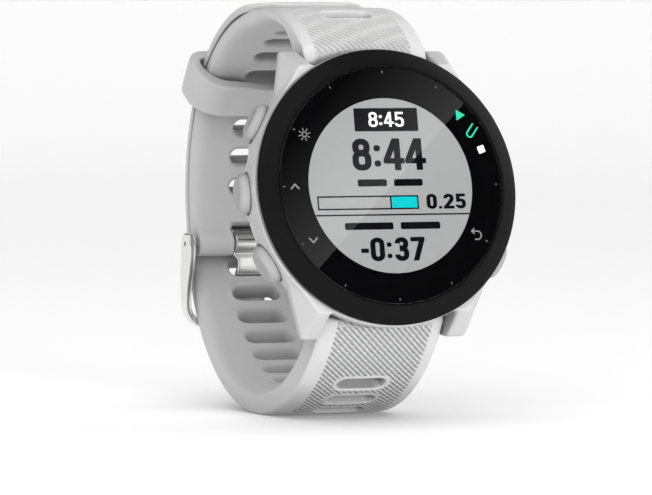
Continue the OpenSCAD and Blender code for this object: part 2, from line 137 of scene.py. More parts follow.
def surface_net(field, low, high, step):
    """Closed mesh of where field(x, y, z) crosses 0 in a box: one vertex in each mixed cell of a grid,
    drawn onto the surface, and one quad round each crossed grid edge."""
    low, high = np.array(low, float), np.array(high, float)
    counts = np.ceil((high - low) / step).astype(int) + 1
    axes = [low[i] + step * np.arange(counts[i]) for i in range(3)]
    value = field(*np.meshgrid(*axes, indexing="ij"))
    inside = value < 0
    cells = tuple(n - 1 for n in value.shape)
    corners = [(i, j, k) for i in (0, 1) for j in (0, 1) for k in (0, 1)]
    seen = [inside[i:i + cells[0], j:j + cells[1], k:k + cells[2]] for i, j, k in corners]
    active = np.argwhere(np.any(seen, axis=0) & ~np.all(seen, axis=0))
    at = {c: value[tuple((active + np.array(c)).T)] for c in corners}
    total, count = np.zeros((len(active), 3)), np.zeros(len(active))
    for a, axis in [(a, axis) for a in corners for axis in range(3) if not a[axis]]:
        b = tuple(v + (i == axis) for i, v in enumerate(a))
        crossed = (at[a] < 0) != (at[b] < 0)
        share = np.where(crossed, at[a] / np.where(crossed, at[a] - at[b], 1), 0)
        total += crossed[:, None] * (np.array(a) + share[:, None] * np.eye(3)[axis])
        count += crossed
    centre = low + step * (active + total / count[:, None])
    points = centre.copy()
    tiny = step * 0.05
    for _ in range(4):
        x, y, z = points.T
        f = field(x, y, z)
        g = np.stack([field(x + tiny, y, z) - field(x - tiny, y, z),
                      field(x, y + tiny, z) - field(x, y - tiny, z),
                      field(x, y, z + tiny) - field(x, y, z - tiny)], 1) / (2 * tiny)
        move = -(f / np.maximum((g * g).sum(1), 1e-3))[:, None] * g
        points = np.clip(points + 0.8 * move, centre - 0.55 * step, centre + 0.55 * step)
    number = np.full(cells, -1)
    number[tuple(active.T)] = np.arange(len(active))
    faces = []
    for axis in range(3):
        b, c = (axis + 1) % 3, (axis + 2) % 3
        size = list(value.shape)
        size[axis] -= 1
        first = inside[tuple(slice(0, size[i]) for i in range(3))]
        second = inside[tuple(slice(int(i == axis), size[i] + int(i == axis)) for i in range(3))]
        edges = np.argwhere(first != second)
        edges = edges[(edges[:, b] > 0) & (edges[:, c] > 0)
                      & (edges[:, b] < cells[b]) & (edges[:, c] < cells[c])]
        ring = []
        for db, dc in ((-1, -1), (0, -1), (0, 0), (-1, 0)):
            cell = edges.copy()
            cell[:, b] += db
            cell[:, c] += dc
            ring.append(number[tuple(cell.T)])
        quads = np.stack(ring, 1)
        outward = first[tuple(edges.T)]
        quads[~outward] = quads[~outward][:, ::-1]
        faces.append(quads[(quads >= 0).all(1)])
    return points, np.concatenate(faces)


def lathe(profile, segments=192, closed=True):
    """Points and faces of a profile of [radius, z] turned round the dial's axis. A closed profile is a ring;
    an open one starts and ends on the axis."""
    turn = np.linspace(0, 2 * math.pi, segments, endpoint=False)
    points, rows = [], []
    for r, z in profile:
        start, off_axis = len(points), r > 1e-6
        points += [(r * math.cos(t), r * math.sin(t), z) for t in turn] if off_axis else [(0, 0, z)]
        rows.append([start + i * off_axis for i in range(segments)])
    faces = []
    for a, b in zip(rows, rows[1:] + rows[:1] if closed else rows[1:]):
        for i in range(segments):
            j = (i + 1) % segments
            face = list(dict.fromkeys((a[i], a[j], b[j], b[i])))
            if len(face) > 2:
                faces.append(face)
    return points, faces


def rounded(profile, radius, steps=5):
    """A closed profile with each corner turned into a small curve."""
    made = []
    corners = [np.array(p, float) for p in profile]
    for before, p, after in zip(corners[-1:] + corners, corners, corners[1:] + corners[:1]):
        a, b = before - p, after - p
        la, lb = np.linalg.norm(a), np.linalg.norm(b)
        r = min(radius, 0.45 * la, 0.45 * lb)
        start, end = p + a / la * r, p + b / lb * r
        for t in np.linspace(0, 1, steps + 1):
            made.append(tuple((1 - t) ** 2 * start + 2 * t * (1 - t) * p + t * t * end))
    return made


def thickened(top, under, faces):
    """A closed solid from a sheet's faces: its points on top and underneath, and a wall round every rim."""
    n = len(top)
    edges = {(a, b) for f in faces for a, b in zip(f, f[1:] + f[:1])}
    rim = sorted((a, b) for a, b in edges if (b, a) not in edges)
    solid = faces + [[v + n for v in f[::-1]] for f in faces] + [[b, a, a + n, b + n] for a, b in rim]
    return np.concatenate([top, under]), solid


def corner_field(a, b, r):
    """Signed distance to a corner of radius r, from the distances past its two sides."""
    a, b = a + r, b + r
    return np.hypot(np.maximum(a, 0), np.maximum(b, 0)) + np.minimum(np.maximum(a, b), 0) - r


def box2(x, y, x0, y0, x1, y1, r=0.0):
    """Signed distance to a box with rounded corners."""
    past_x = np.abs(x - (x0 + x1) / 2) - (x1 - x0) / 2
    past_y = np.abs(y - (y0 + y1) / 2) - (y1 - y0) / 2
    return corner_field(past_x, past_y, r)


# ---- materials
def fill(tree, target, inputs):
    """Set a node's inputs: an output socket is linked to, and anything else becomes the input's own value."""
    for name, value in inputs.items():
        if isinstance(value, bpy.types.NodeSocket):
            tree.links.new(value, target.inputs[name])
        else:
            target.inputs[name].default_value = value


def node(tree, kind, output, inputs=None, **settings):
    """One output of a new shader node, which has the given settings and inputs."""
    made = tree.nodes.new("ShaderNode" + kind)
    for name, value in settings.items():
        setattr(made, name, value)
    fill(tree, made, inputs or {})
    return made.outputs[output]


def new_material(name):
    m = bpy.data.materials.new(name)
    m.use_nodes = True
    return m, m.node_tree, m.node_tree.nodes["Principled BSDF"]


def own_place(tree, **mapping):
    """A point's place in its object's own coordinates, turned or stretched by a mapping."""
    place = node(tree, "TexCoord", "Object")
    return node(tree, "Mapping", "Vector", {"Vector": place, **mapping}) if mapping else place


def noise(tree, scale, detail=3.0, roughness=0.6, **mapping):
    return node(tree, "TexNoise", "Fac", {"Vector": own_place(tree, **mapping), "Scale": scale,
                                          "Detail": detail, "Roughness": roughness})


def span(tree, source, low, high):
    return node(tree, "MapRange", "Result", {"Value": source, "To Min": low, "To Max": high})


def mixed(tree, factor, a, b):
    """Two colours mixed, each given as red, green and blue or as another node's output."""
    a, b = ((*c, 1) if isinstance(c, tuple) else c for c in (a, b))
    return node(tree, "Mix", "Result", {"Factor": factor, "A": a, "B": b}, data_type="RGBA")


def bump(tree, height, strength, distance):
    return node(tree, "Bump", "Normal", {"Height": height, "Strength": strength, "Distance": distance})


def math_node(tree, operation, *values):
    return node(tree, "Math", "Value", dict(enumerate(values)), operation=operation)


def painted_hollow_shade(tree, colour, share, reach):
    """Painted shade: a colour made darker where other surfaces are close by, as shade falls in recesses and
    gaps.
    """
    shade = node(tree, "AmbientOcclusion", "Color", {"Color": colour, "Distance": reach}, samples=8)
    return mixed(tree, share, colour, shade)


def grey(value):
    return (value, value, value)


# How far off other surfaces still darken the painted shade, in metres.
HOLLOW_SHADE_REACH = 0.006


def moulded(name, a, b, rough, grain=0.3, grain_size=9000, blotch=180, sheen=0.0, subsurface=0.0,
            specular=0.5, hollow_shade=0.0):
    """Moulded plastic or rubber: slow colour variation, varying gloss, a fine surface grain and, where asked,
    painted shade darkening its colour in recesses.
    """
    m, tree, shader = new_material(name)
    slow = noise(tree, blotch, 4.0)
    colour = mixed(tree, slow, a, b)
    # painted shade: the colour darkened where other surfaces are close by
    if hollow_shade:
        colour = painted_hollow_shade(tree, colour, hollow_shade, HOLLOW_SHADE_REACH)
    fill(tree, shader, {"Base Color": colour, "Roughness": span(tree, slow, *rough),
                        "Normal": bump(tree, noise(tree, grain_size, 2.0), grain, 0.00002),
                        "Sheen Weight": sheen, "Specular IOR Level": specular})
    if subsurface:
        fill(tree, shader, {"Subsurface Weight": subsurface, "Subsurface Scale": 0.0015,
                            "Subsurface Radius": (1.0, 0.95, 0.9)})
    return m


def metal(name, colour, rough, stretch=(40, 2500, 2500), scratch=0.25):
    """Polished metal with fine brushing along x, and slight smudges."""
    m, tree, shader = new_material(name)
    smudge = noise(tree, 400)
    lines = noise(tree, 1.0, 4.0, 0.5, Scale=stretch)
    dulled = mixed(tree, smudge, colour, tuple(c * 0.92 for c in colour))
    fill(tree, shader, {"Metallic": 1.0, "Base Color": dulled,
                        "Roughness": span(tree, smudge, rough * 0.7, rough * 1.5),
                        "Normal": bump(tree, lines, scratch, 0.00001)})
    return m


def ink(name, a, b=None, specular=0.2, rough=0.5, mottle=900):
    """Matt print with a fine mottle between two colours, or one colour and a slightly darker one."""
    m, tree, shader = new_material(name)
    colour = mixed(tree, noise(tree, mottle, 2.0), a, b or tuple(c * 0.9 for c in a))
    fill(tree, shader, {"Base Color": colour, "Roughness": rough, "Specular IOR Level": specular})
    return m


def display_grey():
    """Reflective display: a cool grey with a very fine pixel grid."""
    m, tree, shader = new_material("display_grey")
    place = own_place(tree, Rotation=(LEAN - math.pi / 2, 0, 0))
    lines = [node(tree, "TexWave", "Fac", {"Vector": place, "Scale": 1200}, bands_direction=axis)
             for axis in ("X", "Y")]
    colour = mixed(tree, math_node(tree, "MAXIMUM", *lines), (0.225, 0.229, 0.229), (0.245, 0.249, 0.249))
    fill(tree, shader, {"Base Color": colour, "Roughness": 0.08, "Specular IOR Level": 0.9})
    return m


def clear_glass():
    """Cover glass: it lets light through as it is, and its front mirrors by Fresnel."""
    m, tree, shader = new_material("cover_glass")
    tree.nodes.remove(shader)
    front = math_node(tree, "SUBTRACT", 1.0, node(tree, "NewGeometry", "Backfacing"))
    share = math_node(tree, "MULTIPLY", node(tree, "Fresnel", "Fac", {"IOR": 1.5}), front)
    clear = node(tree, "BsdfTransparent", "BSDF")
    gloss = node(tree, "BsdfGlossy", "BSDF", {"Roughness": span(tree, noise(tree, 120, 4.0), 0.0, 0.003)})
    both = node(tree, "MixShader", "Shader", {"Fac": share, 1: clear, 2: gloss})
    fill(tree, tree.nodes["Material Output"], {"Surface": both})
    return m


# The silicone and both resins get painted shade, darker in their recesses and gaps.
SILICONE = moulded("silicone", grey(0.46), grey(0.50), (0.42, 0.56), 0.25, 6000, 160, sheen=0.1,
                   subsurface=0.1, hollow_shade=0.5)
RESIN = moulded("case_resin", grey(0.41), grey(0.44), (0.32, 0.44), 0.2, 8000, 220, subsurface=0.05,
                hollow_shade=0.4)
CAP_RESIN = moulded("cap_resin", grey(0.26), grey(0.29), (0.26, 0.38), 0.15, 8000, 260, subsurface=0.05,
                    hollow_shade=0.4)
BEZEL_BLACK = moulded("bezel_black", grey(0.002), grey(0.004), (0.30, 0.38), 0.2, 7000, 300, specular=0.1)
DARK_PLASTIC = moulded("dark_plastic", (0.02, 0.02, 0.021), (0.035, 0.035, 0.036), (0.4, 0.55), 0.3,
                       6000, 300)
BACK_PLASTIC = moulded("back_plastic", (0.58, 0.58, 0.59), (0.64, 0.64, 0.65), (0.38, 0.5), 0.35,
                       5000, 200)
RED_RUBBER = moulded("red_seal", (0.5, 0.06, 0.04), (0.6, 0.09, 0.06), (0.45, 0.6), 0.2, 6000)
BLACK_RUBBER = moulded("black_seal", grey(0.015), grey(0.03), (0.45, 0.6), 0.2, 6000)
BOARD_GREEN = moulded("board_green", (0.02, 0.16, 0.05), (0.03, 0.22, 0.08), (0.3, 0.45), 0.3, 4000, 900)
AMBER = moulded("amber_flex", (0.55, 0.22, 0.02), (0.65, 0.28, 0.04), (0.25, 0.4), 0.1, 4000)
WHITE_GUIDE = moulded("light_guide", grey(0.8), grey(0.85), (0.2, 0.3), 0.05, 4000)
LED_GREEN = moulded("led_green", (0.25, 0.7, 0.25), (0.3, 0.8, 0.3), (0.15, 0.25), 0.05, 4000)
DARK_DIODE = moulded("dark_diode", (0.06, 0.06, 0.09), (0.09, 0.09, 0.12), (0.15, 0.25), 0.05, 4000)
STEEL = metal("buckle_steel", (0.80, 0.80, 0.79), 0.16)
BAR_STEEL = metal("bar_steel", grey(0.62), 0.28)
COPPER = metal("plated_copper", (0.85, 0.5, 0.3), 0.3)
GOLD = metal("gold", (0.95, 0.7, 0.3), 0.2)
FOIL = metal("cell_foil", (0.35, 0.36, 0.38), 0.4)
PIEZO = metal("piezo_brass", (0.8, 0.62, 0.3), 0.3)
PRINT = ink("black_print", (0.001, 0.001, 0.0012), (0.002, 0.002, 0.0022), 0.0, 0.6, 500)
DISPLAY = display_grey()
GLASS = clear_glass()
INK_BLACK = ink("display_ink", (0.004, 0.004, 0.005), specular=0.0)
INK_WHITE = ink("display_white", grey(0.75))
INK_TEAL = ink("display_teal", (0.0, 0.36, 0.38))
LABEL_GREY = ink("label_grey", grey(0.17))
LABEL_WHITE = ink("label_white", grey(0.85))
LABEL_GREEN = ink("label_green", (0.02, 0.42, 0.24))


# ---- case
def button_axes(angle, x, y, z):
    """Distance out of the case, along its side, and up its side, about a button."""
    a = math.radians(angle)
    return x * math.cos(a) + y * math.sin(a), -x * math.sin(a) + y * math.cos(a), z - BUTTON_Z


def lug_field(x, y, z):
    """One lug, in the quarter where x and y are positive. Each line is one face: normal and a point on it."""
    faces = [((0, 0.857, 0.516), (0, 18.58, -2.2)), ((0.765, 0.47, 0.44), (13.95, 20.5, -7.3)),
             ((0.90, 0.164, -0.35), (13.8, 20.4, -7.4)), ((0, 0.97, -0.25), (0, 21.87, -7.9)),
             ((0.1, 0.0, -0.995), (12, 18, CASE_BOTTOM)), ((-1, 0, 0), (LUG_X - 0.02, 0, 0))]
    f = np.full(np.shape(x), -50.0)
    for n, p in faces:
        n = np.array(n) / np.linalg.norm(n)
        f = smax(f, n[0] * (x - p[0]) + n[1] * (y - p[1]) + n[2] * (z - p[2]), 0.45)
    return np.maximum(f, 6 - y)


def case_field(x, y, z):
    r = np.hypot(x, y)
    side = smax(r - SIDE_R, 0.9 * (r - SIDE_R + 0.05) - 0.436 * (z + 6.2), 1.6)
    body = smax(smax(side, z - RIM_TOP, 0.3), CASE_BOTTOM - z, 0.6)
    body = smin(body, lug_field(np.abs(x), np.abs(y), z), 0.9)
    for angle in BUTTONS.values():
        out, along, up = button_axes(angle, x, y, z)
        swell = np.sqrt((np.maximum(out - 17.6, 0) / 3.75) ** 2 + (along / 5.4) ** 2 + (up / 3.9) ** 2)
        swell = np.where(out > 10, (swell - 1) * 3.4, 9.0)
        body = smin(body, swell, 1.3)
    body = np.maximum(body, z - RIM_TOP)
    between = np.maximum(np.abs(x) - LUG_X, np.maximum(POCKET_Y - np.abs(y), z - RIM_BOTTOM))
    body = smax(body, -between, 0.25)
    seat = np.maximum(r - SEAT_R, RIM_BOTTOM - z)
    cavity = np.max([r - CAVITY_R, np.abs(y) - 15.2, z - RIM_BOTTOM - 0.3, CAVITY_FLOOR - z], axis=0)
    opening = np.maximum(r - BACK_OPENING_R, z - CAVITY_FLOOR - 0.4)
    body = np.maximum(body, -np.minimum(np.minimum(seat, cavity), opening))
    for angle in BUTTONS.values():
        out, along, up = button_axes(angle, x, y, z)
        oval = (np.hypot(along / (CAP_HALF_LEN + CAP_GAP), up / (CAP_HALF_H + CAP_GAP)) - 1) * POCKET_SCALE
        pocket = smax(oval, CAP_SEAT - out, 0.1)
        bore = np.maximum(np.hypot(along, up) - STEM_BORE_R, 16 - out)
        body = smax(body, -np.minimum(pocket, bore), 0.22)
    return body


def build_case():
    shell = surface_net(case_field, (-23, -23, -11.4), (23, 23, -1.9), 0.27)
    add_piece("case_shell", shell, "case", ["case_body"], RESIN)


def build_bezel():
    profile = [(SEAT_R, RIM_TOP), (20.35, RIM_TOP), (20.87, -1.5), (20.75, -1.28), (19.7, -0.72),
               (18.35, -0.06), (17.96, 0.0), (17.96, -1.35), (SEAT_R, -1.35)]
    ring = lathe(rounded(profile, 0.16, 4), 256)
    add_piece("bezel_ring", ring, "case", ["bezel"], BEZEL_BLACK, angle=50)


def build_glass():
    """The pane, the black print ring behind its edge and the display module."""
    print_z, lower_z, display_z = -PANE_T - 0.005, -PANE_T - 0.04, -PANE_T - 0.05
    pane = [(0, -PANE_T), (GLASS_R, -PANE_T), (GLASS_R, -0.14), (GLASS_R - 0.04, -0.05),
            (GLASS_R - 0.12, 0.0), (GLASS_R - 0.14, 0.0), (0, 0.0)]
    add_piece("cover_glass", lathe(pane, 256, closed=False), "case", ["cover_lens"], GLASS, angle=35)
    ring = [(LIT_R, lower_z), (LIT_R + 0.02, print_z), (PRINT_R, print_z), (PRINT_R, -GLASS_T),
            (SEAT_R, -GLASS_T), (SEAT_R, lower_z)]
    add_piece("print_ring", lathe(ring, 256), "case", ["lens_mask"], PRINT, smooth=False)
    module = [(0, -2.55), (14.4, -2.55), (14.5, -2.5), (14.5, display_z - 0.04), (14.45, display_z),
              (0, display_z)]
    module = lathe(module, closed=False)
    add_piece("display_module", module, "case", ["display_panel"], DISPLAY, angle=35)


def build_caps():
    """Five caps on grooved stems: an oval top face with a wide bevel down to the case."""
    rings = [(1.0, 20.95), (1.0, 21.55), (0.975, 21.75), (0.93, 21.92), (0.83, 22.22), (0.78, 22.33),
             (0.72, 22.40), (0.60, 22.45), (0.35, 22.49), (0.12, CAP_TOP)]
    stem = [(0.3, 17.45), (0.9, 17.45), (1.05, 17.6), (1.05, 17.74), (0.79, 17.74), (0.79, 18.12),
            (1.05, 18.12), (1.05, 19.5), (0.69, 19.5), (0.69, 20.0), (1.05, 20.0), (1.05, 20.95)]
    loops = [(r, r, out) for r, out in stem] + [(CAP_HALF_LEN * s, CAP_HALF_H * s, out) for s, out in rings]
    n = 96
    turn = np.linspace(0, 2 * math.pi, n, endpoint=False)
    faces = [(k * n + i, k * n + (i + 1) % n, (k + 1) * n + (i + 1) % n, (k + 1) * n + i)
             for k in range(len(loops) - 1) for i in range(n)]
    faces += [range(n)[::-1], range((len(loops) - 1) * n, len(loops) * n)]
    for name, angle in BUTTONS.items():
        a = math.radians(angle)
        outward, along = np.array([math.cos(a), math.sin(a), 0]), np.array([-math.sin(a), math.cos(a), 0])
        points = [outward * out + along * u * math.cos(t) + np.array([0, 0, BUTTON_Z + v * math.sin(t)])
                  for u, v, out in loops for t in turn]
        add_piece(name + "_cap", (points, faces), name + "_button", [name + "_button"], CAP_RESIN,
                  angle=40)


# ---- prints on the display and the glass
DISPLAY_Z = -PANE_T - 0.045
LABEL_Z = -PANE_T + 0.005
PRINT_T = 0.02
MARK_R, START_R, TICK_R = 15.4, 16.1, 17.15


def region(field, low, high, step):
    """Flat mesh of where field(x, y) is below 0: whole cells, and cells cut where the field crosses 0."""
    xs, ys = (low[i] + step * np.arange(math.ceil((high[i] - low[i]) / step) + 1) for i in (0, 1))
    value = field(*np.meshgrid(xs, ys, indexing="ij"))
    points, known, faces = [], {}, []

    def number(key, place):
        """The number of the point at a grid corner, or between two of them."""
        if key not in known:
            known[key] = len(points)
            points.append(place())
        return known[key]

    def crossing(a, b):
        a, b = sorted((a, b))
        t = value[a] / (value[a] - value[b])
        x0, y0, x1, y1 = xs[a[0]], ys[a[1]], xs[b[0]], ys[b[1]]
        return number((a, b), lambda: (x0 + t * (x1 - x0), y0 + t * (y1 - y0)))

    inside = value < 0
    some = inside[:-1, :-1] | inside[1:, :-1] | inside[1:, 1:] | inside[:-1, 1:]
    for i, j in np.argwhere(some).tolist():
        ring = [(i, j), (i + 1, j), (i + 1, j + 1), (i, j + 1)]
        face = []
        for a, b in zip(ring, ring[1:] + ring[:1]):
            if inside[a]:
                face.append(number(a, lambda: (xs[a[0]], ys[a[1]])))
            if inside[a] != inside[b]:
                face.append(crossing(a, b))
        if len(face) > 2:
            faces.append(face)
    return np.array(points), faces


def print_piece(name, field, low, high, z, material, step=0.1):
    """A thin closed print in the dial's plane."""
    flat, faces = region(field, low, high, step)
    top, under = (np.column_stack([flat, np.full(len(flat), height)]) for height in (z + PRINT_T, z))
    add_piece(name, thickened(top, under, faces), "case", (), material, smooth=False)


def ring2(x, y, x0, y0, x1, y1, r, t):
    """A rounded box's outline of width t, inside its edge."""
    d = box2(x, y, x0, y0, x1, y1, r)
    return np.maximum(d, -d - t)


def bar2(x, y, a, b, half):
    """Signed distance to a straight stroke with round ends."""
    dx, dy = b[0] - a[0], b[1] - a[1]
    t = np.clip(((x - a[0]) * dx + (y - a[1]) * dy) / (dx * dx + dy * dy), 0, 1)
    return np.hypot(x - a[0] - t * dx, y - a[1] - t * dy) - half


def glyph(mark, x, y, t):
    """Signed distance to a figure one unit high and 0.56 wide, with strokes t wide."""
    w = 0.56
    box = lambda *place: box2(x, y, *place)
    ring = lambda *place: ring2(x, y, *place, t)
    stroke = lambda a, b, share: bar2(x, y, a, b, share * t)
    joined = lambda *parts: np.min(parts, axis=0)
    cut = lambda *parts: np.max(parts, axis=0)
    if mark == "8":
        return joined(ring(0.02, 0.46, w - 0.02, 1, 0.24), ring(0, 0, w, 0.46 + t * 0.9, 0.25))
    if mark == "0":
        return ring(0, 0, w, 1, 0.27)
    if mark == "4":
        slope = cut(stroke((0.36, 1.0), (0.055, 0.30), 0.47), y - 1, 0.22 - y)
        return joined(slope, box(-0.01, 0.21, w + 0.04, 0.21 + t * 0.88), box(0.30, 0, 0.30 + t, 1))
    if mark == "5":
        bowl = cut(ring(0, 0, w, 0.66, 0.26), -box(-0.2, 0.22, 0.26, 0.50))
        hook, stem = box(0.0, 0.18, t, 0.25, 0.02), box(0.04, 0.44, 0.04 + t * 0.95, 1)
        return joined(bowl, hook, stem, box(0.04, 1 - t * 0.95, w - 0.02, 1))
    if mark == "2":
        arc = cut(ring(0, 0.42, w, 1, 0.27), -box(-0.2, 0.2, 0.30, 0.70))
        slope = cut(stroke((w - t / 2 - 0.01, 0.60), (0.09, 0.08), 0.5), -y)
        return joined(arc, slope, box(0, 0, w + 0.01, t * 0.92))
    if mark == "3":
        loops = joined(ring(0.02, 0.45, w - 0.01, 1, 0.25), ring(0, 0, w, 0.45 + t * 0.8, 0.26))
        return cut(loops, -box(-0.2, 0.27, 0.20, 0.74))
    if mark == "7":
        slope = cut(stroke((w - 0.10, 0.92), (0.17, -0.02), 0.52), -y, y - 1)
        return joined(slope, box(0, 1 - t * 0.92, w, 1))
    if mark == ":":
        return joined(box(0.0, 0.12, 0.19, 0.31, 0.07), box(0.0, 0.60, 0.19, 0.79, 0.07))
    if mark == ".":
        return box(0.0, 0, 0.18, 0.18, 0.05)
    return box(0.0, 0.36, 0.30, 0.36 + t * 0.9)


ADVANCE = {":": 0.30, ".": 0.28, "-": 0.37}


def number_print(name, figures, x0, x1, y0, y1, stroke, material=INK_BLACK, z=DISPLAY_Z):
    """A row of figures fitted to a box."""
    steps = [ADVANCE.get(c, 0.65) for c in figures]
    total = sum(steps) - 0.08
    sx, sy = (x1 - x0) / total, y1 - y0

    def field(x, y):
        best = np.full(np.shape(x), 9.0)
        at = 0.0
        for c, step in zip(figures, steps):
            best = np.minimum(best, glyph(c, (x - x0) / sx - at, (y - y0) / sy, stroke))
            at += step
        return best
    print_piece(name, field, (x0 - 0.3, y0 - 0.3), (x1 + 0.3, y1 + 0.3), z, material, 0.075)


def words_print(name, spans, y0, y1):
    """A caption, as plain blocks in the place of its words."""
    field = lambda x, y: np.min([box2(x, y, a, y0, b, y1, 0.25) for a, b in spans], axis=0)
    low, high = (spans[0][0] - 0.2, y0 - 0.2), (spans[-1][1] + 0.2, y1 + 0.2)
    print_piece(name, field, low, high, DISPLAY_Z, INK_BLACK)


def build_display():
    """What the screen shows: times and a distance, plain blocks for its captions, and a bar that fills."""
    def part(name, field, low, high, material=INK_BLACK, step=0.1):
        on_screen = lambda x, y: np.maximum(field(x, y), np.hypot(x, y) - LIT_R + 0.02)
        print_piece("screen_" + name, on_screen, low, high, DISPLAY_Z, material, step)
    part("time_box", lambda x, y: box2(x, y, -5.1, 8.2, 5.2, 11.7, 0.02), (-5.4, 8), (5.5, 12))
    number_print("screen_time", "8:45", -2.8, 2.95, 8.85, 11.1, 0.15, INK_WHITE, DISPLAY_Z + 0.025)
    number_print("screen_pace", "8:44", -5.85, 5.9, 2.3, 7.1, 0.19)
    number_print("screen_gap", "0.25", 5.6, 12.0, -3.6, -1.35, 0.21)
    number_print("screen_ahead", "-0:37", -5.6, 4.8, -11.35, -7.8, 0.20)
    words_print("screen_caption_a", [(-5.3, -0.6), (0.55, 5.2)], -0.1, 0.95)
    words_print("screen_caption_b", [(-7.9, -0.1), (1.1, 7.5)], -6.6, -5.55)
    part("bar_frame", lambda x, y: np.minimum(ring2(x, y, -12, -3.6, 4.3, -1.5, 0.02, 0.22),
                                              box2(x, y, -0.3, -3.6, -0.07, -1.5)),
         (-13, -4), (5, -1.2), step=0.08)
    part("bar_fill", lambda x, y: box2(x, y, -0.02, -3.38, 4.08, -1.72), (-0.3, -3.6), (4.3, -1.5), INK_TEAL)
    part("rule", lambda x, y: np.abs(y + 4.4) - 0.11, (-13, -4.7), (13, -4.1), step=0.08)


def ring_mark(name, angle, field, material, radius=MARK_R, half=1.9, step=0.07, tilt=-90):
    """A print on the glass's ring, at an angle round the dial, with its top turned outwards."""
    a, lean = math.radians(angle), math.radians(tilt)
    cx, cy = radius * math.cos(a), radius * math.sin(a)
    c, d = math.cos(a + lean), math.sin(a + lean)
    moved = lambda x, y: field((x - cx) * c + (y - cy) * d, (cx - x) * d + (y - cy) * c)
    print_piece(name, moved, (cx - half, cy - half), (cx + half, cy + half), LABEL_Z, material, step)


def sun_mark(x, y):
    turn = np.linspace(0, 2 * math.pi, 8, endpoint=False)
    ends = [np.array((math.cos(a), math.sin(a))) for a in turn]
    rays = [bar2(x, y, 0.62 * e, 0.92 * e, 0.08) for e in ends]
    disc = np.abs(np.hypot(x, y) - 0.36) - 0.09
    return np.minimum(disc, np.min(rays, axis=0))


def chevron(x, y):
    return bar2(np.abs(x), y, (0.6, -0.3), (0, 0.35), 0.12)


def play_mark(x, y):
    return np.maximum(-0.62 - x, 0.5 * x + 0.866 * np.abs(y) - 0.42)


def back_mark(x, y):
    hook = np.maximum(np.abs(np.hypot(x - 0.1, y) - 0.62) - 0.10, -(x + 0.05))
    strokes = [((-0.75, 0.62), (0.1, 0.62)), ((-0.3, -0.62), (0.1, -0.62)),
               ((-0.8, 0.62), (-0.4, 1.0)), ((-0.8, 0.62), (-0.4, 0.24))]
    return np.min([hook] + [bar2(x, y, a, b, 0.10) for a, b in strokes], axis=0)


def bracket(x, y):
    """Two rails joined at one end, round the start button's place."""
    d = box2(x, y, -1.15, -0.6, 2.0, 0.6, 0.5)
    return np.maximum(np.maximum(d, -d - 0.25), x - 1.05)


def build_ring_marks():
    tick = lambda x, y: box2(x, y, -0.06, -0.19, 0.06, 0.19, 0.05)
    block = lambda x, y: box2(x, y, -0.55, -0.55, 0.55, 0.55, 0.1)
    for hour in range(12):
        ring_mark("tick_%02d" % hour, 90 - 30 * hour, tick, LABEL_GREY, TICK_R, 0.5, 0.04)
    ring_mark("mark_light", 149.5, sun_mark, LABEL_GREY)
    ring_mark("mark_up", 180, chevron, LABEL_GREY, half=1.2, tilt=-180)
    ring_mark("mark_down", 211.5, lambda x, y: chevron(x, -y), LABEL_GREY, half=1.2, tilt=-211.5)
    ring_mark("mark_back", -30, back_mark, LABEL_GREY, tilt=30)
    ring_mark("mark_start", 41, play_mark, LABEL_GREEN, START_R, tilt=-41)
    ring_mark("mark_stop", 19.3, block, LABEL_WHITE, START_R, half=1.2)
    ring_mark("mark_bracket", 30.4, bracket, LABEL_GREEN, START_R, half=2.2, tilt=22)


# ---- strap
DEG = math.pi / 180
RIB_PITCH = 0.67
RIB_DEPTH = 0.40
UPPER_DEEPER = 1.4
RIB_EDGE = 7.8
LOWER_SHIFT, UPPER_SHIFT = 0.4, -0.4
EDGE_OUT, EDGE_IN = 0.6, 2.4
SLOT_STATIONS = (-2.2, -1.9, -1.65, -1.375, -0.95, -0.3, 0.3, 0.95, 1.375, 1.65, 1.9, 2.2)
END_STATIONS = (0.0, 0.03, 0.1, 0.2, 0.35, 0.55, 0.8, 1.1, 1.45, 1.85, 2.3)
EDGE_COLUMNS = (0.0, 0.03, 0.1, 0.2, 0.35, 0.55, 0.8, 1.1, 1.45)
BARREL_R = 2.05
BARREL_RHO = math.hypot(PIVOT[0] - UPPER_C[0], PIVOT[1] - UPPER_C[1])
BARREL_THETA = -8.31


def on_arc(centre, radius, degrees):
    """Points on an arc in the strap's side plane, in degrees from straight back, towards the dial's top."""
    a = np.radians(degrees)
    return np.stack([centre[0] + radius * np.sin(a), centre[1] - radius * np.cos(a)], -1)


def round_end(distance, radius):
    """1 inside a strap, falling along a quarter circle to 0 at its end."""
    return np.sqrt(np.clip(1 - np.clip(1 - distance / radius, 0, 1) ** 2, 0.0006, 1))


def closed_path(outer, inner, share):
    """Outer and inner points drawn together at an end, and the direction out of the strap."""
    across = outer - inner
    normal = across / np.linalg.norm(across, axis=1)[:, None]
    middle, half = (outer + inner) / 2, across / 2 * share[:, None]
    return middle + half, middle - half, normal


LOWER_BACK = 142.2
LOWER_BEND = LOWER_BACK * DEG * LOWER_R
LOWER_LENGTH = LOWER_BEND + UPPER_C[0] + 101 * DEG * TAIL_OUT


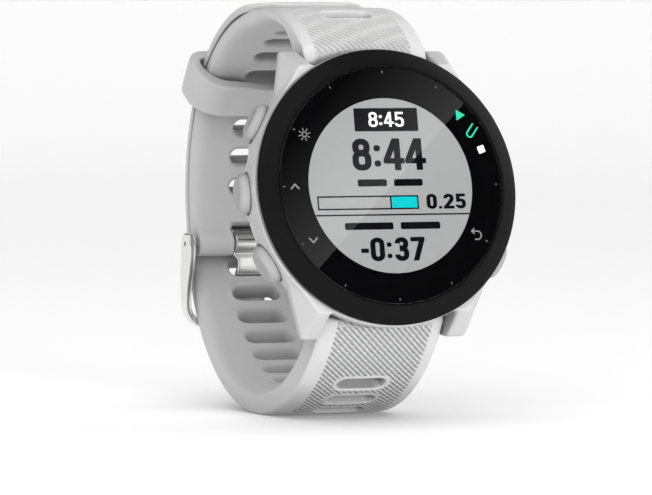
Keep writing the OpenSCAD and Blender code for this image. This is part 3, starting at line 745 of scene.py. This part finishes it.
def lower_path(s):
    """The long half, s millimetres along its outer side from the lugs: under, up the back and over."""
    p = s - LOWER_BEND
    theta = np.degrees(np.clip(p, None, 0) / LOWER_R)
    over = np.degrees(np.clip(p - UPPER_C[0], 0, None) / TAIL_OUT)
    share = np.clip(p / UPPER_C[0], 0, 1)[:, None]
    thin = 0.3 * smooth_step(-8, 30, p)
    a, b = on_arc(LOWER_C, LOWER_R, theta), on_arc(INNER_C, INNER_R, theta * 137.8 / LOWER_BACK)
    a_tail, b_tail = on_arc(UPPER_C, TAIL_OUT - thin, over), on_arc(UPPER_C, TAIL_IN, over)
    outer, inner = a + (a_tail - a) * share, b + (b_tail - b) * share
    return closed_path(outer, inner, round_end(s, 1.8) * round_end(LOWER_LENGTH - s, 0.9))


UPPER_REF = 28.0
UPPER_FIRST = BARREL_THETA - math.degrees(BARREL_R / BARREL_RHO)
UPPER_LAST = 149.6
UPPER_LENGTH = (UPPER_LAST - UPPER_FIRST) * DEG * UPPER_REF


def upper_s(theta):
    return (theta - UPPER_FIRST) * DEG * UPPER_REF


def upper_path(s):
    """The short half, from the roll round the buckle's bar, over the top to the lugs."""
    theta = s / (DEG * UPPER_REF) + UPPER_FIRST
    turn = (theta - BARREL_THETA) * DEG
    mid, beside = BARREL_RHO * np.cos(turn), BARREL_RHO * np.sin(turn)
    roll = np.sqrt(np.maximum(BARREL_R ** 2 - beside ** 2, 0.0))
    near = np.abs(beside) < BARREL_R
    r_in = np.interp(theta, [-4, 5, 12, 100, 115, 126, 136, 148],
                     [24.4, 24.4, 25.1, 25.2, 26.8, 27.3, 26.3, 24.4])
    r_out = np.interp(theta, [-8, 40, 77, 89, 100, 110, 122, 131, 138, 143, 149],
                      [27.6, 27.45, 27.4, 27.5, 27.9, 28.6, 29.3, 29.75, 29.85, 29.9, 28.7])
    r_in = np.where(near, smin(r_in, mid - roll, 0.25), r_in)
    r_out = np.where(near, np.where(turn < 0, mid + roll, smax(r_out - 0.02, mid + roll, 0.1)), r_out)
    r_in = np.where(near & (turn < 0), mid - roll, r_in)
    r_out, r_in = np.where(turn < -0.0795, mid + 0.05, r_out), np.where(turn < -0.0795, mid - 0.05, r_in)
    unit = on_arc((0, 0), 1.0, theta)
    centre = np.array(UPPER_C)
    return closed_path(centre + unit * r_out[:, None], centre + unit * r_in[:, None],
                       round_end(UPPER_LENGTH - s, 1.8))


def stadium_distance(s, x, centre):
    """Signed distance to a slot's outline, in the strap's own surface."""
    over = np.maximum(np.abs(x) - (SLOT_LEN - SLOT_H) / 2, 0)
    return np.hypot(over, s - centre) - SLOT_H / 2


def snapped(holes, s, x, rim):
    """Grid points beside a hole, moved onto its outline."""
    tiny = 0.01
    for _ in range(5):
        d = holes(s, x)
        gs = (holes(s + tiny, x) - holes(s - tiny, x)) / (2 * tiny)
        gx = (holes(s, x + tiny) - holes(s, x - tiny)) / (2 * tiny)
        size = np.maximum(gs ** 2 + gx ** 2, 1e-2)
        s = np.where(rim, s - d * gs / size, s)
        x = np.where(rim, x - d * gx / size, x)
    return s, x


def edge_drop(edge, across, down):
    return down * (1 - np.sqrt(np.clip(1 - np.clip(1 - edge / across, 0, 1) ** 2, 0, 1)))


def strap_mesh(path, stations, columns, holes, half_width, crown, grooves, out_drop, in_lift):
    """A band of stations and columns: rounded edges and ends, holes cut through, a worked outer side."""
    s, x = np.meshgrid(stations, columns, indexing="ij")
    x = x * (half_width(stations) / STRAP_HALF)[:, None]
    middle = lambda a: (a[:-1, :-1] + a[1:, 1:] + a[1:, :-1] + a[:-1, 1:]) / 4
    gone = holes(middle(s), middle(x)) < 0
    padded = np.pad(gone, 1, mode="edge")
    around = [padded[i:i + s.shape[0], j:j + s.shape[1]] for i in (0, 1) for j in (0, 1)]
    s, x = snapped(holes, s, x, np.any(around, axis=0) & ~np.all(around, axis=0))
    s = np.clip(s, stations[0], stations[-1])
    to_hole, edge = holes(s, x), half_width(s.ravel()).reshape(s.shape) - np.abs(x)
    outer, inner, normal = path(s.ravel())
    flat = np.linalg.norm(outer - inner, axis=1).reshape(s.shape)
    end = smooth_step(0.3, 1.6, flat)
    up = crown(s, x) - grooves(s, x, to_hole) - edge_drop(to_hole, 0.35, 0.25)
    up -= edge_drop(edge, EDGE_OUT, np.minimum(out_drop(s), 0.25 * flat))
    lift = edge_drop(edge, EDGE_IN, np.minimum(in_lift(s), np.clip(1.4 * (flat - 1.4), 0.12, 1.3)))
    lift += edge_drop(to_hole, 0.6, 0.35) - 0.2 * np.exp(-((to_hole - 0.6) / 0.3) ** 2)
    top = np.column_stack([x.ravel(), outer + normal * (up * end).reshape(-1, 1)])
    under = np.column_stack([x.ravel(), inner + normal * (lift * end).reshape(-1, 1)])
    number = np.arange(s.size).reshape(s.shape)
    quads = np.stack([number[:-1, :-1], number[1:, :-1], number[1:, 1:], number[:-1, 1:]], 2)[~gone]
    used, faces = np.unique(quads, return_inverse=True)
    return thickened(top[used], under[used], faces.reshape(-1, 4).tolist())


def strap_stations(length, slots, rib_from, rib_to, fine=0.15, coarse=0.7):
    """Places along a strap: even and close where it is grooved, and set round each slot elsewhere."""
    made = list(END_STATIONS) + [length - e for e in END_STATIONS]
    room = END_STATIONS[-1] + 0.1
    made += list(np.arange(max(rib_from, room), min(rib_to, length - room), fine))
    around = [c + o for c in slots for o in SLOT_STATIONS]
    made += [s for s in around if not rib_from - 0.1 < s < rib_to + 0.1]
    made = sorted(m for m in made if 0 <= m <= length)
    kept = [made[0]]
    for m in made[1:]:
        gap = m - kept[-1]
        parts = int(math.ceil(gap / coarse))
        kept += [kept[-1] + gap * k / parts for k in range(1, parts)]
        if m - kept[-1] > 0.025:
            kept.append(m)
    return np.array(kept)


def strap_columns(fine):
    border = EDGE_COLUMNS[-1] + 0.3
    count = int(round(2 * (STRAP_HALF - border) / fine))
    inner = np.linspace(-(STRAP_HALF - border), STRAP_HALF - border, count)
    edge = STRAP_HALF - np.array(EDGE_COLUMNS)
    return np.concatenate([-edge, inner, edge[::-1]])


def ribs(s, x, to_hole, first, last, shift):
    """Diagonal grooves inside smooth borders, between two places along the strap."""
    wave = 0.5 + 0.5 * np.cos(2 * math.pi * (x - s) / (math.sqrt(2) * RIB_PITCH))
    inside = smooth_step(0, 0.2, RIB_EDGE - np.abs(x - shift)) * smooth_step(0.6, 0.8, to_hole)
    inside = inside * smooth_step(0, 0.5, s - first) * smooth_step(0, 0.5, last - s)
    return RIB_DEPTH * smooth_step(0.45, 0.9, wave) * inside


def build_lower_strap():
    slots = [LOWER_BEND - (8.3 + 9.65 * i) * DEG * LOWER_R for i in range(12)]
    slots += [LOWER_BEND + UPPER_C[0] + (4.4 + 9.9 * i) * DEG * TAIL_OUT for i in range(9)]
    rib_end = (LOWER_BACK - 92) * DEG * LOWER_R
    stations = strap_stations(LOWER_LENGTH, slots, 0, rib_end)

    def crown(s, x):
        return 0.5 * (1 - (x / STRAP_HALF) ** 2) * (0.4 + 0.6 * smooth_step(0, 1, (LOWER_BEND - s) / 30))

    points, faces = strap_mesh(
        lower_path, stations, strap_columns(0.175),
        holes=lambda s, x: np.min([stadium_distance(s, x, c) for c in slots], axis=0),
        half_width=lambda s: STRAP_HALF * np.sqrt(1 - 0.75 * np.clip((s - LOWER_LENGTH + 7) / 7, 0, 1) ** 3),
        crown=crown, grooves=lambda s, x, d: ribs(s, x, d, 1.0, rib_end, LOWER_SHIFT),
        out_drop=lambda s: 0.45, in_lift=lambda s: 1.3)
    height = DIAL_CENTRE.z / MM + points[:, 1] * DIAL_UP.z + points[:, 2] * DIAL_OUT.z
    points[:, 1:] += np.maximum(-height, 0)[:, None] * np.array((DIAL_UP.z, DIAL_OUT.z))
    add_piece("strap_long_half", (points, faces), "case", ["lower_strap"], SILICONE, angle=50)


def build_upper_strap():
    slots = [upper_s(11.7 + 11.05 * i) for i in range(10)] + [upper_s(126.5)]
    rib_start = upper_s(104.5)
    notch_end = upper_s(-2.2)

    def holes(s, x):
        notch = corner_field(s - notch_end, np.abs(x) - 4.2, 0.8)
        return np.minimum(np.min([stadium_distance(s, x, c) for c in slots], axis=0), notch)

    shape = strap_mesh(
        upper_path, strap_stations(UPPER_LENGTH, slots, rib_start, UPPER_LENGTH), strap_columns(0.16), holes,
        half_width=lambda s: np.full(np.shape(s), STRAP_HALF),
        crown=lambda s, x: 0.7 * (1 - (x / STRAP_HALF) ** 2) * smooth_step(upper_s(104), upper_s(125), s),
        grooves=lambda s, x, d: UPPER_DEEPER * ribs(s, x, d, rib_start, UPPER_LENGTH, UPPER_SHIFT),
        out_drop=lambda s: 0.15 + 0.3 * smooth_step(upper_s(98), upper_s(108), s),
        in_lift=lambda s: 0.35 + 0.95 * smooth_step(upper_s(2), upper_s(14), s))
    add_piece("strap_short_half", shape, "case", ["upper_strap"], SILICONE, angle=50)


def loop_field(x, rho, half, low, high, low_r, high_r):
    """A box whose corners have one radius at its low side and another at its high side."""
    return box2(x, rho, -half, low, half, high, np.where(rho < (low + high) / 2, low_r, high_r))


def build_keeper():
    """The free loop: a rounded frame round both straps."""
    def field(x, y, z):
        dy, dz = y - UPPER_C[0], z - UPPER_C[1]
        rho, theta = np.hypot(dy, dz), np.degrees(np.arctan2(dy, -dz))
        outside = loop_field(x, rho, 11.9, 22.5, 31.9, 4.6, 2.4)
        window = loop_field(x, rho, 10.5, 24.3, 29.9, 4.0, 0.9)
        body = smax(outside, -window, 0.35)
        top = 54.6 + 1.7 * smooth_step(0, 7, np.abs(x)) * smooth_step(31.5, 26, rho)
        low = 41.4 + 0.5 * smooth_step(5.5, 11.0, np.abs(x))
        body = smax(body, (theta - top) * DEG * rho, 0.4)
        return smax(body, (low - theta) * DEG * rho, 0.5)
    loop = surface_net(field, (-12.4, 17.0, -56.0), (12.4, 33.5, -40.0), 0.19)
    add_piece("keeper_loop", loop, "keeper", ["strap_keeper"], SILICONE)


def path_place(p, q, path):
    """Length along a side-view polyline, distance beside it, and the half width given at its corners."""
    along, beside, half = np.zeros(np.shape(p)), np.full(np.shape(p), 99.0), np.zeros(np.shape(p))
    run = 0.0
    for k, ((a0, a1, ha), (b0, b1, hb)) in enumerate(zip(path, path[1:])):
        d0, d1 = b0 - a0, b1 - a1
        size = math.hypot(d0, d1)
        t = ((p - a0) * d0 + (q - a1) * d1) / size ** 2
        t = np.clip(t, -9 if k == 0 else 0, 9 if k == len(path) - 2 else 1)
        gap = np.hypot(p - a0 - t * d0, q - a1 - t * d1)
        nearer = gap < beside
        along = np.where(nearer, run + t * size, along)
        beside = np.where(nearer, gap, beside)
        half = np.where(nearer, ha + (hb - ha) * np.clip(t, 0, 1), half)
        run += size
    return along, beside, half


def smooth_path(corners, steps=8):
    """A finer polyline through the same corners, rounded between them."""
    c = np.array(corners, float)
    made = []
    for i in range(len(c) - 1):
        p0, p1, p2, p3 = c[max(i - 1, 0)], c[i], c[i + 1], c[min(i + 2, len(c) - 1)]
        for t in np.linspace(0, 1, steps, endpoint=False):
            made.append(0.5 * (2 * p1 + (p2 - p0) * t + (2 * p0 - 5 * p1 + 4 * p2 - p3) * t ** 2
                               + (3 * p1 - p0 - 3 * p2 + p3) * t ** 3))
    made.append(c[-1])
    return [tuple(m) for m in made]


ARM_PATH = smooth_path([(2.4, -54.6, 0.9), (0.5, -55.05, 1.9), (-1.7, -55.6, 1.85), (-4.7, -57.0, 1.55),
                        (-7.2, -57.7, 1.15), (-9.5, -58.1, 0.95), (-12.0, -58.5, 0.85)])
TONGUE_PATH = smooth_path([(0.1, -55.95, 0.5), (-1.8, -55.95, 0.45), (-3.7, -56.6, 0.45), (-4.3, -57.8, 0.45),
                           (-4.6, -59.3, 0.45), (-5.8, -60.3, 0.5), (-8.6, -60.7, 0.52),
                           (-12.5, -60.25, 0.48), (-14, -59.7, 0.4)], 5)


def build_buckle():
    """The frame that hangs on the bar, and the tongue."""
    total = float(path_place(np.array([CROSSBAR[0]]), np.array([CROSSBAR[1]]), ARM_PATH)[0][0])

    def frame_field(x, y, z):
        along, beside, half = path_place(y, z, ARM_PATH)
        loop = corner_field(np.abs(x) - 11.44, along - total, 3.2)
        sheet = smax(np.abs(loop) - 0.54, beside - half, 0.3)
        sheet = smax(sheet, 0.4 - along, 0.4)
        hole = np.hypot(y - PIVOT[0], z - PIVOT[1])
        sheet = np.maximum(sheet, -np.maximum(hole - 0.82, np.abs(x) - 11.85))
        return smax(sheet, -(hole - 0.34), 0.1)
    loop = surface_net(frame_field, (-12.4, -14, -60.4), (12.4, 3.4, -52.4), 0.16)
    add_piece("buckle_loop", loop, "buckle", ["buckle_frame"], STEEL)

    def tongue_field(x, y, z):
        _, beside, half = path_place(y, z, TONGUE_PATH)
        end = smax(beside - half, -14 - y, 0.3)
        from_bar = np.hypot(y - PIVOT[0], z - PIVOT[1])
        narrow = 3.8 - 0.8 * smooth_step(-1.2, -2.4, y) - 0.4 * smooth_step(-9, -14, y)
        body = smax(smin(end, from_bar - 1.5, 0.4), np.abs(x) - narrow, 0.3)
        return np.maximum(body, 0.86 - from_bar)
    prong = surface_net(tongue_field, (-4.3, -15, -61.8), (4.3, 2.6, -53.2), 0.12)
    add_piece("buckle_prong", prong, "tongue", ["buckle_tongue"], STEEL)


# ---- carried-over CAD nodes
NODE_LOOKS = [
    (BLACK_RUBBER, ["lens_adhesive"] + [name + "_button_seal" for name in BUTTONS]),
    (RED_RUBBER, ["back_gasket"]), (WHITE_GUIDE, ["backlight"]), (AMBER, ["display_flex"]),
    (COPPER, ["gps_antenna"]), (GOLD, ["charge_contacts"]), (PIEZO, ["buzzer"]), (FOIL, ["battery"]),
    (LED_GREEN, ["sensor_leds"]), (DARK_DIODE, ["photodiodes"]), (BACK_PLASTIC, ["case_back"]),
    (BOARD_GREEN, ["main_board", "sensor_board"]),
    (DARK_PLASTIC, ["inner_chassis", "processor", "gps_receiver", "power_chip", "sensor_window",
                    "charge_port"]),
    (BAR_STEEL, ["shield_can", "tact_switches", "vibration_motor", "back_screws", "upper_bar_tube",
                 "lower_bar_tube", "upper_release_pin", "lower_release_pin", "bar_springs", "buckle_bar"]
     + [name + "_button_clip" for name in BUTTONS]),
]


def dress_nodes():
    for material, names in NODE_LOOKS:
        for name in names:
            dress(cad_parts[name], material)


# ---- floor, light and camera
FLOOR_FLAT = 1.3
FLOOR_RISE = 0.35
GLASS_SEES = (0.386, -0.865, 0.321)
SKY_BASE = 0.30
# Each part of the sky: its direction, the cosines where it is full and where it has faded, and its power.
SKY = [((-0.48, -0.30, 0.82), 0.93, 0.70, 0.92), ((0.86, 0.26, 0.43), 0.93, 0.72, 1.2),
       (GLASS_SEES, 0.97, 0.90, -SKY_BASE)]
GLARE_EDGE = ((12.33, 11.73, 0), (-12.21, -11.8, 0))
GLARE_PAST = 10.0
GLARE_SPAN = 16.0
GLARE_FAR = 0.45
GLARE_POWER = 1.05
CAMERA_AZIMUTH, CAMERA_ELEVATION = -22.75, 2.40
CAMERA_DISTANCE = 730.0
CAMERA_LENS, CAMERA_SENSOR = 271.47, 36.0
CAMERA_RIGHT, CAMERA_UP = 9.757, 9.268


def camera_axes():
    a, e = math.radians(CAMERA_AZIMUTH), math.radians(CAMERA_ELEVATION)
    back = Vector((math.sin(a) * math.cos(e), -math.cos(a) * math.cos(e), math.sin(e)))
    right = Vector((math.cos(a), math.sin(a), 0))
    return right, back.cross(right), back


def camera_place():
    right, up, back = camera_axes()
    return DIAL_CENTRE + (back * CAMERA_DISTANCE - right * CAMERA_RIGHT - up * CAMERA_UP) * MM


def aimed(name, data, place, forward):
    """A camera or lamp in the scene, looking forward from its place."""
    obj = bpy.data.objects.new(name, data)
    bpy.context.scene.collection.objects.link(obj)
    obj.location = place
    obj.rotation_mode = "QUATERNION"
    obj.rotation_quaternion = forward.to_track_quat("-Z", "Y")
    return obj


def build_camera():
    """The view of the photograph: the dial's centre sits right of and above the middle of the picture."""
    data = bpy.data.cameras.new("camera")
    data.lens, data.sensor_width = CAMERA_LENS, CAMERA_SENSOR
    data.clip_start, data.clip_end = 0.05, 20
    bpy.context.scene.camera = aimed("camera", data, camera_place(), -camera_axes()[2])


def build_floor():
    """A white floor that curves up to a low rim all round, far from the watch, with a painted contact shadow
    darker close to the watch.
    """
    rise = [(FLOOR_FLAT + FLOOR_RISE * math.sin(t), FLOOR_RISE * (1 - math.cos(t)))
            for t in np.linspace(math.pi / 2, 0, 12)]
    floor = mesh_object("floor", *lathe(rise + [(0.7, 0.0), (0.3, 0.0), (0, 0)], 96, closed=False))
    floor.data.shade_smooth()
    m, tree, shader = new_material("floor_white")
    white = mixed(tree, noise(tree, 2, 2.0), grey(0.90), grey(0.905))
    # painted contact shadow: the floor's white darkened where the watch is close by
    fill(tree, shader, {"Base Color": painted_hollow_shade(tree, white, 0.55, 0.03), "Roughness": 0.8,
                        "Specular IOR Level": 0.0, "Emission Color": (1, 1, 1, 1), "Emission Strength": 0.20})
    dress(floor, m)


def area_light(name, place, target, size, power):
    """A soft box that no gloss shows."""
    data = bpy.data.lights.new(name, "AREA")
    data.shape = "RECTANGLE"
    data.size, data.size_y = size
    data.energy = power
    aimed(name, data, place, Vector(target) - Vector(place)).visible_glossy = False


def build_lights():
    """A white tent: a dim sky, two wide soft boxes in it, and a dark card where the glass looks."""
    world = bpy.data.worlds.new("studio")
    bpy.context.scene.world = world
    world.use_nodes = True
    tree = world.node_tree
    direction = node(tree, "TexCoord", "Generated")
    total = SKY_BASE
    for towards, full, none, power in SKY:
        near = node(tree, "VectorMath", "Value", {0: direction, 1: Vector(towards).normalized()},
                    operation="DOT_PRODUCT")
        lobe = node(tree, "MapRange", "Result", {"Value": near, "From Min": none, "From Max": full},
                    interpolation_type="SMOOTHSTEP")
        total = math_node(tree, "MULTIPLY_ADD", lobe, power, total)
    fill(tree, tree.nodes["Background"], {"Strength": total, "Color": (1, 1, 1, 1)})
    area_light("front_fill", (-0.45, -0.9, 0.55), (0, 0, 0.03), (0.7, 0.7), 4.5)
    area_light("low_fill", (0.04, -0.8, 0.06), (0, -0.02, 0.015), (0.16, 0.1), 6.0)


def glare_material():
    """A soft box's face: bright along one edge, fading to nothing at the other."""
    m, tree, shader = new_material("glare_face")
    tree.nodes.remove(shader)
    split = node(tree, "SeparateXYZ", "Y", {"Vector": node(tree, "TexCoord", "UV")})
    power = math_node(tree, "MULTIPLY", math_node(tree, "POWER", split, 1.2), GLARE_POWER)
    glow = node(tree, "Emission", "Emission", {"Strength": power})
    fill(tree, tree.nodes["Material Output"], {"Surface": glow})
    return m


def build_glare():
    """A soft box that only the glass mirrors, with its edge where the photograph shows it across the dial."""
    eye = camera_place()
    mirrored = eye - DIAL_OUT * (2 * (eye - DIAL_CENTRE).dot(DIAL_OUT))
    away = (DIAL_CENTRE - mirrored).normalized()
    middle = DIAL_CENTRE + away * GLARE_FAR

    def cast(point):
        """Where the line from the mirrored eye through a point of the dial meets the soft box's plane."""
        ray = (Vector(to_row([point])[0]) - mirrored).normalized()
        return tuple(mirrored + ray * ((middle - mirrored).dot(away) / ray.dot(away)))
    a, b = np.array(GLARE_EDGE, float)
    along = (b - a) / np.linalg.norm(b - a)
    side = np.array([along[1], -along[0], 0]) * GLARE_SPAN
    a, b = a - along * GLARE_PAST, b + along * GLARE_PAST
    box = mesh_object("glare_box", [cast(a), cast(b), cast(b + side), cast(a + side)], [(0, 1, 2, 3)])
    for loop, place in zip(box.data.uv_layers.new(name="fade").data, [(0, 1), (1, 1), (1, 0), (0, 0)]):
        loop.uv = place
    dress(box, glare_material())
    box.visible_camera = box.visible_diffuse = box.visible_shadow = False


build_camera()
build_lights()
build_glare()
build_floor()
build_case()
build_bezel()
build_glass()
build_caps()
build_display()
build_ring_marks()
build_lower_strap()
build_upper_strap()
build_keeper()
build_buckle()
dress_nodes()

bpy.context.scene.view_settings.view_transform = "Standard"
